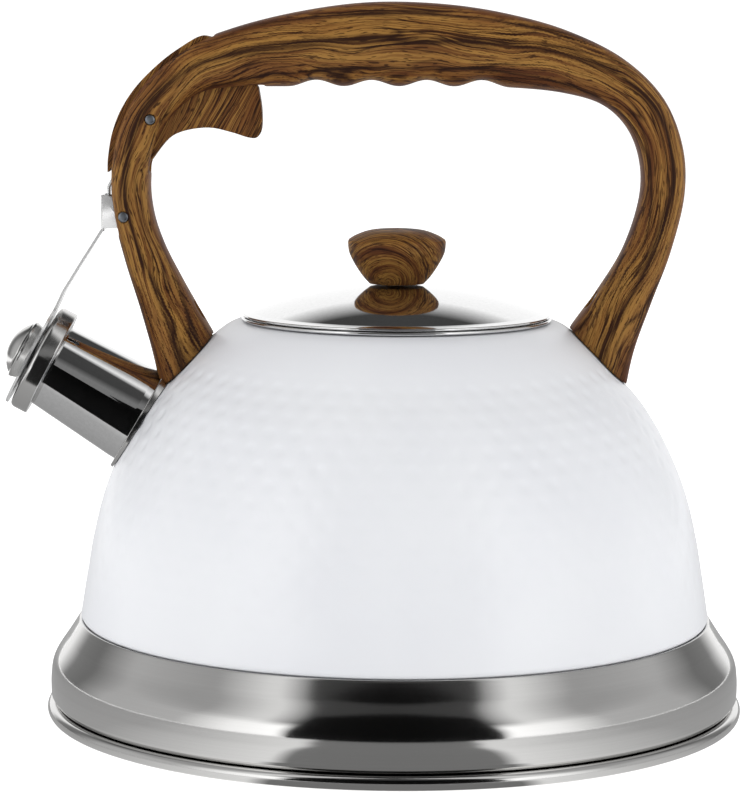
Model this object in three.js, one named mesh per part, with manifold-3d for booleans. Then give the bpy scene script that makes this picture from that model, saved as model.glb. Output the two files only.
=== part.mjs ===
// Stovetop whistling kettle: enamelled shell on a steel pan, lift-off lid, fixed wood-look handle,
// and a finger trigger that swings the whistle off the spout.
// Millimetres, +Z up. The origin is the centre of the base's underside; -X is the spout's side.
import * as THREE from 'three';
import { mergeVertices } from 'three/addons/utils/BufferGeometryUtils.js';
import Module from 'manifold-3d';

const wasm = await Module();
wasm.setup();

// ---------------------------------------------------------------- driving dimensions
const GAP = 0.3; // clearance between pieces that rest on or inside each other
const WALL = 1; // sheet of the vessel
const VESSEL_FACETS = 60;
const LID_FACETS = 48;
const ROUND_FACETS = 28;
const PIN_FACETS = 12;

const BASE_RADIUS = 108.8; // the rolled bead at the foot
const BEAD_HEIGHT = 4.6;
const CAPSULE_SHEET = 1.2;
const CORE_RADIUS = 96;
const PAN_RADIUS = 107.5;
const PAINT_RADIUS = 98.3; // where the enamel starts
const PAINT_Z = 30.6;
const SPIGOT_RADIUS = 96.8; // the shell's lower edge, inside the pan
const SPIGOT_Z = 24;

const NECK_RADIUS = 45.1;
const SEAT_RADIUS = 48.2;
const SEAT_Z = 124.4;

const LID_RADIUS = 48;
const LID_SPHERE = 125; // radius of the lid's dome
const LID_SHEET = 0.8;
const LID_RIM_Z = SEAT_Z + GAP;
const LID_CENTRE_Z = LID_RIM_Z - Math.sqrt(LID_SPHERE ** 2 - LID_RADIUS ** 2);
const LID_TOP_Z = LID_CENTRE_Z + LID_SPHERE;
const SKIRT_RADIUS = 43.6;
const KNOB_RADIUS = 15.25;
const SCREW_RADIUS = 2;

const SPOUT_ELEVATION = THREE.MathUtils.degToRad(30.4);
const SPOUT_ROOT = new THREE.Vector3(-80.2, 0, 92.5); // where the spout's axis leaves the shell
const SPOUT_LENGTH = 37.3; // from there to the middle of the mouth
const SPOUT_MOUTH_RADIUS = 13;
const SPOUT_ROOT_RADIUS = 15.3;
const MOUTH_ELEVATION = THREE.MathUtils.degToRad(28); // the mouth band faces a little lower than the tube
const COLLAR_RADIUS = 17.25;
const COLLAR_LENGTH = 5.8;
const FLANGE_RADIUS = 17.9;

const SLOT_HALF = 4.9; // half the slot between the handle's cheeks
const TRIGGER_HALF = 4.5;
const TRIGGER_PIVOT = { x: -75.9, z: 185.3 };
const ARM_PIVOT = { x: -84.2, z: 155.3 };
const PIN_RADIUS = 1.6;
const ARM_SHEET = 0.8;
const ARM_DISC_RADIUS = 17;
const EAR_OUTSIDE = 4.4; // half the width over the arm's two ears
const DISC_LIFT = 0.8; // the disc's height over the collar when shut

// ---------------------------------------------------------------- materials
function material(color, roughness, metalness) {
  return new THREE.MeshStandardMaterial({ color, roughness, metalness });
}
const enamel = () => material(0xf0f1f3, 0.4, 0);
const satinSteel = () => material(0xb9b9b8, 0.35, 1);
const polishedSteel = () => material(0xd4d5d6, 0.12, 1);
const pinSteel = () => material(0x8f9294, 0.4, 1);
const aluminium = () => material(0xc4c6c8, 0.5, 1);
const woodLook = () => material(0x7a4a22, 0.45, 0);

// ---------------------------------------------------------------- solid helpers
function signedVolume(geometry) {
  const p = geometry.attributes.position;
  const index = geometry.index;
  const [a, b, c] = [new THREE.Vector3(), new THREE.Vector3(), new THREE.Vector3()];
  let total = 0;
  for (let i = 0; i < index.count; i += 3) {
    a.fromBufferAttribute(p, index.getX(i));
    b.fromBufferAttribute(p, index.getX(i + 1));
    c.fromBufferAttribute(p, index.getX(i + 2));
    total += a.dot(b.cross(c)) / 6;
  }
  return total;
}

// One closed body: shared vertices merged, collapsed faces dropped, faces turned outwards.
function welded(source) {
  const bare = source.clone();
  for (const name of Object.keys(bare.attributes)) {
    if (name !== 'position') bare.deleteAttribute(name);
  }
  const geometry = mergeVertices(bare, 1e-3);
  geometry.clearGroups();
  const kept = [];
  for (let i = 0; i < geometry.index.count; i += 3) {
    const [a, b, c] = [0, 1, 2].map((k) => geometry.index.getX(i + k));
    if (a !== b && b !== c && a !== c) kept.push(a, b, c);
  }
  geometry.setIndex(kept);
  if (signedVolume(geometry) < 0) geometry.setIndex(kept.reverse());
  return geometry;
}

function toSolid(geometry) {
  const closed = welded(geometry);
  const vertProperties = new Float32Array(closed.attributes.position.array);
  const triVerts = new Uint32Array(closed.index.array);
  return new wasm.Manifold(new wasm.Mesh({ numProp: 3, vertProperties, triVerts }));
}

function toGeometry(solid) {
  const mesh = solid.getMesh();
  const geometry = new THREE.BufferGeometry();
  geometry.setAttribute('position', new THREE.BufferAttribute(new Float32Array(mesh.vertProperties), 3));
  geometry.setIndex(new THREE.BufferAttribute(new Uint32Array(mesh.triVerts), 1));
  return geometry;
}

function joined(first, ...rest) {
  return toGeometry(rest.reduce((whole, next) => whole.add(toSolid(next)), toSolid(first)));
}

function cut(blank, ...tools) {
  return toGeometry(tools.reduce((whole, tool) => whole.subtract(toSolid(tool)), toSolid(blank)));
}

function common(first, second) {
  return toGeometry(toSolid(first).intersect(toSolid(second)));
}

// A solid of revolution round Z from [radius, height] points.
function turned(points, facets = ROUND_FACETS) {
  const profile = points.map(([r, z]) => new THREE.Vector2(r, z));
  return welded(new THREE.LatheGeometry(profile, facets).rotateX(Math.PI / 2));
}

function closedProfile(points) {
  return [...points, points[0]];
}

function tube(inner, outer, low, high, facets = ROUND_FACETS) {
  const points = [[inner, low], [outer, low], [outer, high], [inner, high]];
  return turned(closedProfile(points), facets);
}

function cylinder(radius, low, high, facets = ROUND_FACETS) {
  return turned([[0, low], [radius, low], [radius, high], [0, high]], facets);
}

// A plate seen from the side: an [x, z] outline, half a thickness each way along Y.
function plate(outline, halfWidth) {
  const shape = new THREE.Shape(outline.map(([x, z]) => new THREE.Vector2(x, z)));
  const geometry = new THREE.ExtrudeGeometry(shape, { depth: 2 * halfWidth, bevelEnabled: false });
  return welded(geometry.rotateX(Math.PI / 2).translate(0, halfWidth, 0));
}

// A round bar along Y through a pivot.
function crossBar(pivot, radius, halfLength, facets = PIN_FACETS) {
  const bar = new THREE.CylinderGeometry(radius, radius, 2 * halfLength, facets);
  return welded(bar.translate(pivot.x, 0, pivot.z));
}

function smoothed(points, count) {
  const curve = new THREE.SplineCurve(points.map(([x, y]) => new THREE.Vector2(x, y)));
  return curve.getSpacedPoints(count).map((p) => [p.x, p.y]);
}

// The same profile moved sideways by a distance, positive to the right of its direction.
function offset(points, distance) {
  return points.map(([x, y], i) => {
    const before = points[Math.max(i - 1, 0)];
    const after = points[Math.min(i + 1, points.length - 1)];
    const along = Math.hypot(after[0] - before[0], after[1] - before[1]);
    const right = [(after[1] - before[1]) / along, (before[0] - after[0]) / along];
    return [x + right[0] * distance, y + right[1] * distance];
  });
}

function arc(cx, cy, radius, from, to, steps) {
  return Array.from({ length: steps + 1 }, (_, i) => {
    const angle = THREE.MathUtils.degToRad(from + ((to - from) * i) / steps);
    return [cx + radius * Math.cos(angle), cy + radius * Math.sin(angle)];
  });
}

const kettle = new THREE.Group();

function piece(parent, name, geometry, look) {
  const mesh = new THREE.Mesh(geometry, look);
  mesh.name = name;
  parent.add(mesh);
}

// ---------------------------------------------------------------- vessel
const shellOutside = smoothed(
  [[PAINT_RADIUS, PAINT_Z], [96.2, 44], [93.7, 58], [89.9, 72], [83.8, 86], [76.4, 98], [67.2, 108],
    [60.5, 115], [54.5, 120.2], [50.5, 122.5], [46, 123.2]],
  15,
);

// Everything within a distance of the shell's outside, as one solid down to the pan.
function shellEnvelope(distance) {
  const skin = offset(shellOutside, distance);
  return turned([[0, PAINT_Z], ...skin, [0, skin.at(-1)[1]]], VESSEL_FACETS);
}

// A frame whose Z points away from the spout's mouth at an elevation.
function spoutFrame(position, elevation) {
  const group = new THREE.Group();
  group.position.copy(position);
  group.rotation.y = elevation - Math.PI / 2;
  group.updateMatrix();
  kettle.add(group);
  return group;
}
const spout = spoutFrame(SPOUT_ROOT, SPOUT_ELEVATION);
const mouthCentre = new THREE.Vector3(0, 0, SPOUT_LENGTH).applyMatrix4(spout.matrix);
const mouth = spoutFrame(mouthCentre, MOUTH_ELEVATION);

function bodyShell() {
  const inside = offset(shellOutside, -WALL).slice(2).reverse();
  const wall = closedProfile([
    [SPIGOT_RADIUS, PAINT_Z], ...shellOutside, ...inside,
    [SPIGOT_RADIUS - WALL, PAINT_Z + 3], [SPIGOT_RADIUS - WALL, SPIGOT_Z], [SPIGOT_RADIUS, SPIGOT_Z],
  ]);
  const spoutHole = cylinder(SPOUT_ROOT_RADIUS + GAP, -14, 14);
  return cut(turned(wall, VESSEL_FACETS), spoutHole.applyMatrix4(spout.matrix));
}

function basePan() {
  const floor = BEAD_HEIGHT + GAP;
  const shoulder = smoothed(
    [[PAN_RADIUS, floor + 2], [PAN_RADIUS, 12.5], [106.5, 18], [102, 25], [PAINT_RADIUS + 0.3, PAINT_Z - GAP]],
    6,
  );
  const inside = offset(shoulder, -WALL).slice(0, -1).reverse();
  const rim = [SPIGOT_RADIUS + 0.6, PAINT_Z - GAP];
  return turned(
    [[0, floor], [PAN_RADIUS - 2, floor], ...shoulder, rim, ...inside,
      [PAN_RADIUS - 3, floor + WALL], [0, floor + WALL]],
    VESSEL_FACETS,
  );
}

function baseCapsule() {
  const radius = BEAD_HEIGHT / 2;
  const bead = arc(BASE_RADIUS - radius, radius, radius, -90, 90, 6);
  const inner = BASE_RADIUS - BEAD_HEIGHT - 0.8;
  return turned([[0, 0], ...bead, [inner, BEAD_HEIGHT], [inner, CAPSULE_SHEET], [0, CAPSULE_SHEET]], VESSEL_FACETS);
}

function seatRing() {
  const inner = NECK_RADIUS - 0.9;
  return turned(closedProfile([
    [inner, SEAT_Z - 8.4], [NECK_RADIUS, SEAT_Z - 8.4], [NECK_RADIUS, SEAT_Z - 0.9],
    [SEAT_RADIUS - 0.3, SEAT_Z - 0.9], [SEAT_RADIUS, SEAT_Z - 0.5], [SEAT_RADIUS - 0.4, SEAT_Z],
    [inner + 0.8, SEAT_Z], [inner, SEAT_Z - 0.6],
  ]), LID_FACETS);
}

piece(kettle, 'body_shell', bodyShell(), enamel());
piece(kettle, 'base_pan', basePan(), satinSteel());
piece(kettle, 'base_capsule', baseCapsule(), satinSteel());
piece(kettle, 'heat_core', cylinder(CORE_RADIUS, CAPSULE_SHEET + GAP, BEAD_HEIGHT, VESSEL_FACETS), aluminium());
piece(kettle, 'seat_ring', seatRing(), polishedSteel());

// ---------------------------------------------------------------- spout
// The tube and flange lie along the spout's own Z, the mouth band along the mouth's, from its front.
const SPOUT_WALL = 1;
const TUBE_INSIDE = 6; // how far the tube reaches into the shell
const TUBE_SHORT = 1.3; // how far it stops behind the mouth

function spoutTube() {
  const end = SPOUT_LENGTH - TUBE_SHORT;
  return turned(closedProfile([
    [SPOUT_ROOT_RADIUS - SPOUT_WALL, -TUBE_INSIDE], [SPOUT_ROOT_RADIUS, -TUBE_INSIDE], [SPOUT_ROOT_RADIUS, 2],
    [SPOUT_MOUTH_RADIUS, end], [SPOUT_MOUTH_RADIUS - SPOUT_WALL, end],
  ]));
}

function spoutCollar() {
  const inner = SPOUT_MOUTH_RADIUS + 2 * GAP;
  const back = arc(COLLAR_RADIUS - 0.6, 0.6 - COLLAR_LENGTH, 0.6, -90, 0, 2);
  const front = arc(COLLAR_RADIUS - 1.8, -1.8, 1.8, 0, 90, 4);
  return turned(closedProfile([[inner + 0.2, -COLLAR_LENGTH], ...back, ...front, [inner - GAP, 0]]));
}

piece(spout, 'spout_tube', spoutTube(), polishedSteel());
piece(mouth, 'spout_collar', spoutCollar(), satinSteel());

// ---------------------------------------------------------------- handle
// Ribs from the front foot over the grip to the rear foot:
// outer edge x, z, inner edge x, z, half width along Y. The end ribs lie inside the shell.
const RIBS = [
  [-72.5, 95.1, -53.3, 112.7, 13],
  [-75, 109.6, -59.4, 123.1, 12.2],
  [-79.5, 126.1, -66.7, 136, 10],
  [-84.3, 141.5, -72.2, 146.9, 9.4],
  [-87.6, 155, -75.3, 156.4, 9.6],
  [-88.7, 166.5, -76.2, 166.6, 10],
  [-86.5, 181, -73.8, 178.8, 10.4],
  [-78.9, 195.4, -68.5, 186.5, 10.8],
  [-64.4, 207.6, -60.8, 192.9, 11.2],
  [-51.2, 213.1, -49.8, 194.9, 11.4],
  [-31.5, 218.2, -31.3, 195.4, 11.5],
  [-9.4, 221.3, -9.3, 195.5, 11.5],
  [12.8, 221, 12.9, 195.6, 11.5],
  [32.4, 218.3, 32.7, 195.5, 11.5],
  [52.2, 212.9, 51.2, 193.8, 11.2],
  [69.9, 204.1, 63, 190.3, 10.8],
  [82, 192.2, 70.1, 184.1, 10.4],
  [88, 177.6, 74.2, 175.5, 10],
  [88.9, 163.6, 75.2, 164, 9.8],
  [84.8, 144.9, 70.3, 146.5, 9.4],
  [79.4, 129.9, 62.4, 133, 9.6],
  [73.8, 113.5, 54.2, 121.4, 11],
  [70.5, 95.5, 46.7, 109.3, 12],
];
const SECTIONS = 54;
const SECTION_POINTS = 18;
const SECTION_SQUARENESS = 2.7; // exponent of the section's superellipse
const SCALLOP_PITCH = 17;
const SCALLOP_DEPTH = 2;
const SCALLOP_FIRST = -25.2; // x of the first finger scallop's crest
const SCALLOP_COUNT = 4;

function scallop(x) {
  const turns = (x - SCALLOP_FIRST) / SCALLOP_PITCH;
  if (turns < -0.5 || turns > SCALLOP_COUNT - 0.5) return 0;
  return (SCALLOP_DEPTH * (1 + Math.cos(2 * Math.PI * turns))) / 2;
}

function handleSection(outer, inner, halfWidth) {
  const centre = outer.clone().add(inner).multiplyScalar(0.5);
  const reach = outer.clone().sub(inner).multiplyScalar(0.5);
  const power = 2 / SECTION_SQUARENESS;
  return Array.from({ length: SECTION_POINTS }, (_, i) => {
    const angle = (2 * Math.PI * i) / SECTION_POINTS;
    const across = Math.sign(Math.cos(angle)) * Math.abs(Math.cos(angle)) ** power;
    const aside = Math.sign(Math.sin(angle)) * Math.abs(Math.sin(angle)) ** power;
    return centre.clone().addScaledVector(reach, across).setY(halfWidth * aside);
  });
}

// A closed skin over rings of points, with a fan over each end.
function lofted(rings) {
  const size = rings[0].length;
  const points = rings.flat();
  const index = [];
  for (let r = 0; r + 1 < rings.length; r += 1) {
    for (let i = 0; i < size; i += 1) {
      const [a, b] = [r * size + i, r * size + ((i + 1) % size)];
      index.push(a, b, a + size, b, b + size, a + size);
    }
  }
  const last = (rings.length - 1) * size;
  for (let i = 1; i + 1 < size; i += 1) {
    index.push(0, i + 1, i, last, last + i, last + i + 1);
  }
  const geometry = new THREE.BufferGeometry().setFromPoints(points);
  geometry.setIndex(index);
  return welded(geometry);
}

// The moulding before it is cut, or everything within a margin of it.
function handleBlank(margin) {
  const outerRail = new THREE.CatmullRomCurve3(RIBS.map(([x, z]) => new THREE.Vector3(x, 0, z)), false, 'centripetal');
  const innerRail = new THREE.CatmullRomCurve3(RIBS.map((r) => new THREE.Vector3(r[2], 0, r[3])), false, 'centripetal');
  const spans = RIBS.length - 1;
  const rings = Array.from({ length: SECTIONS + 1 }, (_, i) => {
    const t = i / SECTIONS;
    const rib = Math.min(Math.floor(t * spans), spans - 1);
    const halfWidth = THREE.MathUtils.lerp(RIBS[rib][4], RIBS[rib + 1][4], t * spans - rib);
    const inner = innerRail.getPoint(t);
    inner.z += scallop(inner.x);
    const outer = outerRail.getPoint(t);
    const across = outer.clone().sub(inner).setLength(margin);
    return handleSection(outer.add(across), inner.sub(across), halfWidth + margin);
  });
  return lofted(rings);
}

// The slot for the arm's ears and the trigger. It is open along the outside of the bend, and
// opens downwards too where the trigger's finger hook comes out.
const SLOT_OUTLINE = [
  [-100.1, 149.5], [-84.6, 149.7], [-80.4, 152.1], [-79.4, 157.5], [-79.2, 163.5], [-78.7, 168.9],
  [-66.1, 168.9], [-41.3, 175.5], [-41.3, 203.5], [-56.7, 207.7], [-56.7, 215.5], [-100.1, 215.5],
];

// Each foot is held by a steel tongue that stands on the shell, inside the leg.
const TONGUE = { length: 30, thickness: 2.4, width: 9, bury: 5 };
const FOOT_SCREW = { radius: 1.6, headRadius: 3, headHeight: 1.8, height: 13 };

// A foot's frame: Z up the leg, X from the leg's middle towards the lid.
function footFrame(root, lean, side) {
  const group = new THREE.Group();
  group.position.set(root.x, 0, root.z);
  group.rotation.y = THREE.MathUtils.degToRad(lean);
  if (side > 0) group.rotation.z = Math.PI;
  group.updateMatrix();
  kettle.add(group);
  return group;
}
const frontFoot = footFrame({ x: -66.6, z: 110 }, -21.5, -1);
const rearFoot = footFrame({ x: 62.6, z: 114.4 }, 26.5, 1);

function tongueBox(margin) {
  const box = new THREE.BoxGeometry(
    TONGUE.thickness + 2 * margin, TONGUE.width + 2 * margin, TONGUE.length + TONGUE.bury + margin,
  );
  return box.translate(0, 0, (TONGUE.length - TONGUE.bury + margin) / 2);
}

// A screw along X whose head faces the lid.
function footScrew(margin, headMargin) {
  const head = 6.2;
  const profile = [
    [0, -5 - margin], [FOOT_SCREW.radius + margin, -5 - margin], [FOOT_SCREW.radius + margin, head],
    [FOOT_SCREW.headRadius + margin, head], [FOOT_SCREW.headRadius + margin, head + FOOT_SCREW.headHeight + headMargin],
    [0, head + FOOT_SCREW.headHeight + headMargin],
  ];
  return turned(profile, PIN_FACETS).rotateY(Math.PI / 2).translate(0, 0, FOOT_SCREW.height);
}

function handle() {
  const feet = [frontFoot, rearFoot].flatMap((foot) => [
    tongueBox(GAP).applyMatrix4(foot.matrix),
    footScrew(GAP, 9).applyMatrix4(foot.matrix),
  ]);
  const spoutRoom = cylinder(SPOUT_ROOT_RADIUS + GAP, -10, 20).applyMatrix4(spout.matrix);
  const pinHoles = [TRIGGER_PIVOT, ARM_PIVOT].map((pivot) => crossBar(pivot, PIN_RADIUS + GAP, 14));
  return cut(handleBlank(0), shellEnvelope(GAP), plate(SLOT_OUTLINE, SLOT_HALF), spoutRoom, ...pinHoles, ...feet);
}

// A flat-faced ring on the shell round the spout. The front foot stands over its top.
function spoutFlange() {
  const ring = tube(SPOUT_ROOT_RADIUS + GAP, FLANGE_RADIUS, -8, 0).applyMatrix4(spout.matrix);
  return cut(ring, shellEnvelope(GAP), handleBlank(GAP));
}

function footBracket(foot) {
  const tongue = tongueBox(0).applyMatrix4(foot.matrix);
  const hole = footScrew(GAP, 0).applyMatrix4(foot.matrix);
  return cut(tongue, shellEnvelope(GAP), hole);
}

piece(kettle, 'handle', handle(), woodLook());
piece(kettle, 'spout_flange', spoutFlange(), satinSteel());
piece(kettle, 'front_bracket', footBracket(frontFoot), satinSteel());
piece(kettle, 'rear_bracket', footBracket(rearFoot), satinSteel());
piece(frontFoot, 'front_screw', footScrew(0, 0), pinSteel());
piece(rearFoot, 'rear_screw', footScrew(0, 0), pinSteel());
piece(kettle, 'trigger_pin', crossBar(TRIGGER_PIVOT, PIN_RADIUS, 10.2), pinSteel());
piece(kettle, 'arm_pin', crossBar(ARM_PIVOT, PIN_RADIUS, 9.5), pinSteel());

// ---------------------------------------------------------------- trigger
const SPRING_RADIUS = 2.9; // middle of both torsion springs' wire
const SPRING_WIRE = 0.4;
const SPRING_HALF = 2.2; // half the coil's length

function trigger() {
  const spine = smoothed(
    [[-57.5, 210.4], [-60.8, 210.7], [-65.7, 208], [-72.5, 203.1], [-80, 195.8], [-85, 188.4], [-87.9, 181],
      [-89.2, 173.6], [-89.4, 168.9]],
    16,
  );
  const heel = [[-88.9, 168.9], [-86.7, 173.1], [-83.1, 174.5], [-79.1, 171.7]];
  const hook = smoothed(
    [[-75.9, 172.4], [-70.9, 178.8], [-65.9, 181.6], [-58.1, 182.7], [-51.1, 181.3], [-46.2, 179.8], [-43.3, 179.8],
      [-41.9, 182.5], [-41.9, 188.5], [-42.9, 194.9]],
    16,
  );
  const top = [[-44.6, 197.5], [-51.1, 201], [-57.1, 204.5]];
  const blank = plate([...spine, ...heel, ...hook, ...top], TRIGGER_HALF);
  const springRoom = crossBar(TRIGGER_PIVOT, SPRING_RADIUS + SPRING_WIRE + 0.5, SPRING_HALF + 0.5);
  return cut(blank, crossBar(TRIGGER_PIVOT, PIN_RADIUS + GAP, 8), springRoom);
}

// A torsion spring round a cross bar.
class Helix extends THREE.Curve {
  getPoint(t) {
    const angle = 2 * Math.PI * 3.75 * t;
    const along = THREE.MathUtils.lerp(-SPRING_HALF, SPRING_HALF, t);
    return new THREE.Vector3(SPRING_RADIUS * Math.cos(angle), along, SPRING_RADIUS * Math.sin(angle));
  }
}

function torsionSpring(pivot) {
  const wire = new THREE.Shape(arc(0, 0, SPRING_WIRE, 0, 300, 5).map(([x, y]) => new THREE.Vector2(x, y)));
  const coil = new THREE.ExtrudeGeometry(wire, { steps: 36, extrudePath: new Helix(), bevelEnabled: false });
  return welded(coil.translate(pivot.x, 0, pivot.z));
}

piece(kettle, 'trigger', trigger(), woodLook());
piece(kettle, 'trigger_spring', torsionSpring(TRIGGER_PIVOT), pinSteel());
piece(kettle, 'arm_spring', torsionSpring(ARM_PIVOT), pinSteel());

// ---------------------------------------------------------------- whistle arm
const WHISTLE_BORE = 3;

// A bent strip seen from the side: its middle line thickened to the sheet.
function strip(line, halfWidth) {
  const left = offset(line, ARM_SHEET / 2);
  const right = offset(line, -ARM_SHEET / 2).reverse();
  return plate([...left, ...right], halfWidth);
}

function armStrap() {
  const disc = cylinder(ARM_DISC_RADIUS, DISC_LIFT, DISC_LIFT + ARM_SHEET).applyMatrix4(mouth.matrix);
  const steamHole = cylinder(WHISTLE_BORE, -2, 4).applyMatrix4(mouth.matrix);
  const strap = strip([[-108.7, 120.8], [-105.6, 126.6], [-103.1, 132], [-97.2, 141.5], [-91.1, 151.1]], 6);
  const web = plate([[-91.5, 150.5], [-90.5, 150.5], [-90.5, 161.8], [-91.5, 161.8]], EAR_OUTSIDE);
  const earOutline = [
    [-91.1, 151.5], ...arc(ARM_PIVOT.x, ARM_PIVOT.z, 3.7, -90, 70, 8), [-89.5, 161.8], [-91.1, 161.8],
  ];
  const ears = cut(plate(earOutline, EAR_OUTSIDE), plate(
    [[-90.5, 139.5], [-70.1, 139.5], [-70.1, 169.5], [-90.5, 169.5]], EAR_OUTSIDE - 0.9,
  ));
  const tabFoot = plate([[-91.1, 158.1], [-88.8, 158.1], [-88.8, 159.9], [-91.1, 159.9]], 2.8);
  const tab = plate(
    [[-89.7, 158.1], [-88.8, 158.1], [-88.8, 164.1], [-86.4, 168.7], [-86.4, 170.1], [-87.2, 170.1], [-87.3, 168.9],
      [-89.7, 164.3]],
    2.8,
  );
  return cut(joined(disc, strap, web, ears, tabFoot, tab), steamHole, crossBar(ARM_PIVOT, PIN_RADIUS + GAP, 8));
}

// The whistle's pieces lie along the mouth's axis, in front of the disc and behind it.
const HEAD_LOW = DISC_LIFT + ARM_SHEET + GAP;
const HEAD_HEIGHT = 2.8;
const HEAD_RADIUS = 9.4;
const CAP_RADIUS = 8.6;
const CUP_DEPTH = 5.4; // how far the whistle's cup reaches into the mouth

function whistleHead() {
  return turned(closedProfile([
    [7.6, HEAD_LOW], [HEAD_RADIUS - 0.6, HEAD_LOW], [HEAD_RADIUS, HEAD_LOW + 2], [HEAD_RADIUS, HEAD_LOW + HEAD_HEIGHT],
    [WHISTLE_BORE, HEAD_LOW + HEAD_HEIGHT], [WHISTLE_BORE, HEAD_LOW + HEAD_HEIGHT - 1], [7.6, HEAD_LOW + 1.5],
  ]));
}

function whistleCap() {
  const low = HEAD_LOW + HEAD_HEIGHT + GAP;
  const rise = 3.9;
  const sphere = (CAP_RADIUS ** 2 + rise ** 2) / (2 * rise);
  const ends = THREE.MathUtils.radToDeg(Math.asin(CAP_RADIUS / sphere));
  const outside = arc(0, low + rise - sphere, sphere, 90 - ends, 90 - 9, 5);
  const inside = arc(0, low + rise - sphere - 0.9, sphere, 90 - 9, 90 - ends + 8, 3);
  return turned(closedProfile([...outside, ...inside, [CAP_RADIUS - 1.2, low]]));
}

function whistleCup() {
  const top = DISC_LIFT - GAP;
  const low = -CUP_DEPTH;
  return turned(closedProfile([
    [10.2, low + 0.9], [1.4, low + 0.9], [1.4, low], [10.6, low], [11, low + 0.6], [11, top], [10.2, top],
  ]));
}

piece(kettle, 'arm_strap', armStrap(), polishedSteel());
piece(mouth, 'whistle_head', whistleHead(), polishedSteel());
piece(mouth, 'whistle_cap', whistleCap(), polishedSteel());
piece(mouth, 'whistle_cup', whistleCup(), polishedSteel());
piece(mouth, 'whistle_plate', tube(1.4, 9.8, -2.6, -1.8), polishedSteel());

// ---------------------------------------------------------------- lid
function lidArc(radius, from, to, steps) {
  return Array.from({ length: steps + 1 }, (_, i) => {
    const r = THREE.MathUtils.lerp(from, to, i / steps);
    return [r, LID_CENTRE_Z + Math.sqrt(radius ** 2 - r ** 2)];
  });
}

function lidDome() {
  const hole = SCREW_RADIUS + GAP;
  return turned(closedProfile([
    ...lidArc(LID_SPHERE, hole, LID_RADIUS - 0.8, 6), [LID_RADIUS, LID_RIM_Z + 0.5], [LID_RADIUS - 0.3, LID_RIM_Z],
    ...lidArc(LID_SPHERE - LID_SHEET, LID_RADIUS - 2.1, hole, 4),
  ]), LID_FACETS);
}

function lidKnob() {
  const bottom = LID_TOP_Z + 0.4;
  const flare = smoothed([[8.6, bottom], [10.6, bottom + 2.2], [13, bottom + 5.9], [14.8, bottom + 9.6],
    [KNOB_RADIUS, bottom + 13.1]], 7);
  const crown = smoothed([[KNOB_RADIUS - 0.3, bottom + 13.7], [10, bottom + 16.1], [0, bottom + 17.1]], 5);
  const hole = SCREW_RADIUS + GAP;
  return turned([[0, bottom + 10], [hole, bottom + 10], [hole, bottom], ...flare, ...crown]);
}

function knobScrew() {
  return turned([
    [0, 129.3], [3.6, 129.3], [4.2, 130.2], [4.2, 131.6], [SCREW_RADIUS, 131.6], [SCREW_RADIUS, LID_TOP_Z + 10],
    [0, LID_TOP_Z + 10],
  ]);
}

piece(kettle, 'lid_dome', lidDome(), polishedSteel());
piece(kettle, 'lid_skirt', tube(SKIRT_RADIUS - 0.8, SKIRT_RADIUS, 111.5, 125.2, LID_FACETS), satinSteel());
piece(kettle, 'lid_knob', lidKnob(), woodLook());
piece(kettle, 'lid_washer', tube(SCREW_RADIUS + GAP, 6.5, 131.9, 132.9), satinSteel());
piece(kettle, 'knob_screw', knobScrew(), pinSteel());

export default kettle;
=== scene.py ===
"""Looks for the stovetop whistling kettle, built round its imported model. Outlines are in millimetres."""

import math

import bmesh
import bpy
import numpy as np
from mathutils import Matrix, Vector


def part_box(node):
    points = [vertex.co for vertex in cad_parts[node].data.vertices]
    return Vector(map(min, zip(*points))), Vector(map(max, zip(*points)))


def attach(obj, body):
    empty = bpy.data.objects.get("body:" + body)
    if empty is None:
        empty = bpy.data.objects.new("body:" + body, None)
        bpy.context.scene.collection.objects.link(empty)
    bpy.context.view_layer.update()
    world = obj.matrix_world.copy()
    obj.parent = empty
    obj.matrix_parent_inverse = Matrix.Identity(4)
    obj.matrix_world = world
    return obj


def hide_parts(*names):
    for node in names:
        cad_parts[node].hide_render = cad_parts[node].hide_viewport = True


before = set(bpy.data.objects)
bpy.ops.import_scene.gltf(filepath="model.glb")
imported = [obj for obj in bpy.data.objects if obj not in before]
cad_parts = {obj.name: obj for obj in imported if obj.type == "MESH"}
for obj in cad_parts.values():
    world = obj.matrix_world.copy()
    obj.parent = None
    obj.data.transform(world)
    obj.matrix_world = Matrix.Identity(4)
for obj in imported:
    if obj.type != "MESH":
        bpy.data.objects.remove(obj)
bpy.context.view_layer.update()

MM = 0.001
GAP = 0.3  # clearance that the frame keeps between its pieces


def frame_box(node):
    """A frame node's corners in millimetres."""
    low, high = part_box(node)
    return np.array(low) / MM, np.array(high) / MM


# ---------------------------------------------------------------- outlines
def catmull(points, per_span=8):
    """A smooth curve through the points."""
    p = [np.array(q, float) for q in points]
    p = [p[0], *p, p[-1]]
    made = []
    for a, b, c, d in zip(p, p[1:], p[2:], p[3:]):
        for t in np.linspace(0, 1, per_span, endpoint=False):
            square = 2 * a - 5 * b + 4 * c - d
            cube = 3 * b - a - 3 * c + d
            made.append(0.5 * (2 * b + (c - a) * t + square * t**2 + cube * t**3))
    return [*made, p[-1]]


def spaced(points, step):
    """The same line with its points a step apart."""
    p = np.array(points, float)
    along = np.concatenate([[0], np.cumsum(np.linalg.norm(np.diff(p, axis=0), axis=1))])
    count = max(2, int(round(along[-1] / step)) + 1)
    wanted = np.linspace(0, along[-1], count)
    return np.stack([np.interp(wanted, along, p[:, k]) for k in range(p.shape[1])], 1)


def sideways(points, distance):
    """The same line moved to the right of its direction."""
    p = np.array(points, float)
    along = np.gradient(p, axis=0)
    along /= np.linalg.norm(along, axis=1)[:, None]
    return p + np.stack([along[:, 1], -along[:, 0]], 1) * distance


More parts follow.
